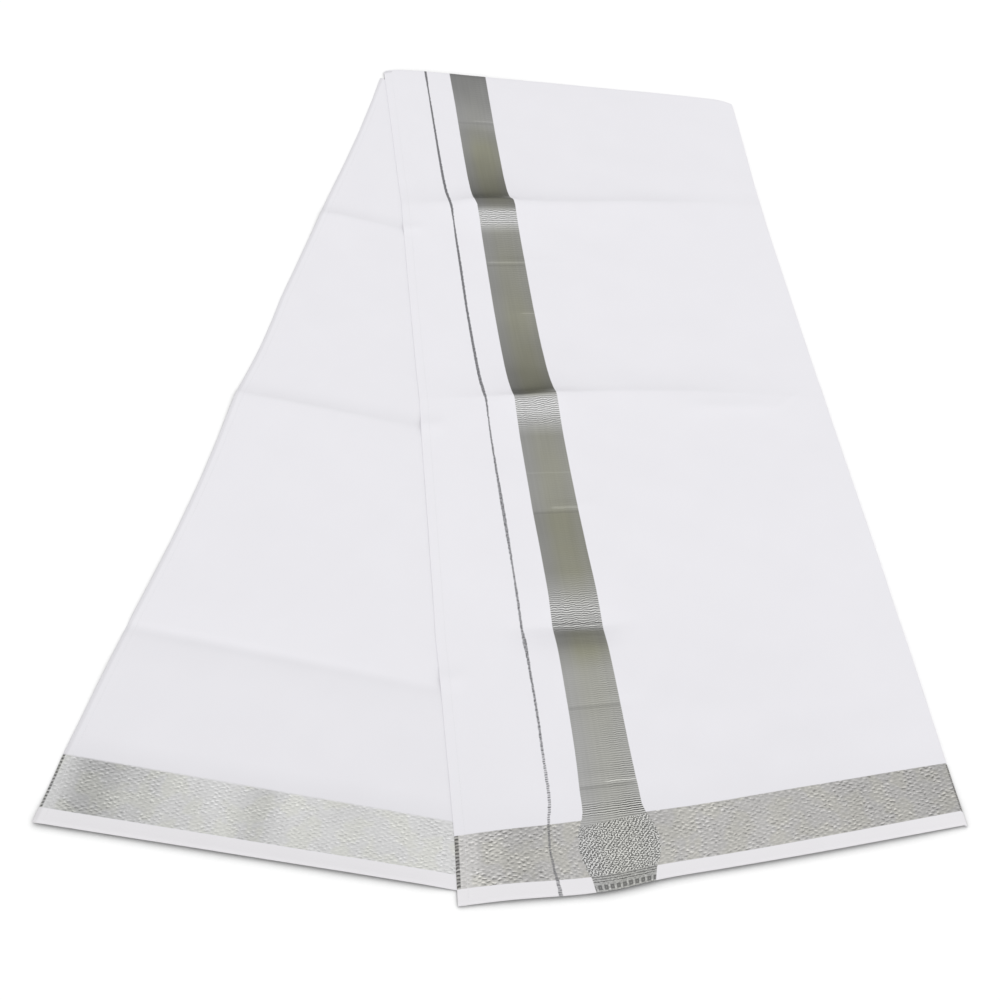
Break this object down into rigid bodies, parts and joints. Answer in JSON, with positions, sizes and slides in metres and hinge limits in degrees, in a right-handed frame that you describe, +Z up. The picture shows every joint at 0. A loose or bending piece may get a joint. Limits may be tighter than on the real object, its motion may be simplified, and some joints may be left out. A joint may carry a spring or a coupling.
{
  "type": "dhoti cloth",
  "caption": "White cotton dhoti cloth with woven silver bands, pressed in quarters and laid flat as two fanned leaves.",
  "frame": {"origin": "middle of the footprint, on the surface that the cloth lies on", "axes": "+Z up, +Y from the open near edge to the far fold, +X from the cut ends towards the side fold"},
  "size_m": [0.8868, 1.1887, 0.0212],
  "materials": {
    "white_cotton": "fine plain weave, matt, pressed",
    "white_cotton_inside": "fine plain weave, matt, pressed",
    "hemmed_end": "turned and stitched narrow hem"
  },
  "bodies": {
    "root": {"top_leaf": "white_cotton", "under_leaf": "white_cotton", "folded_layers": "white_cotton_inside", "top_end_hem": "hemmed_end", "under_end_hem": "hemmed_end"}
  },
  "joints": []
}
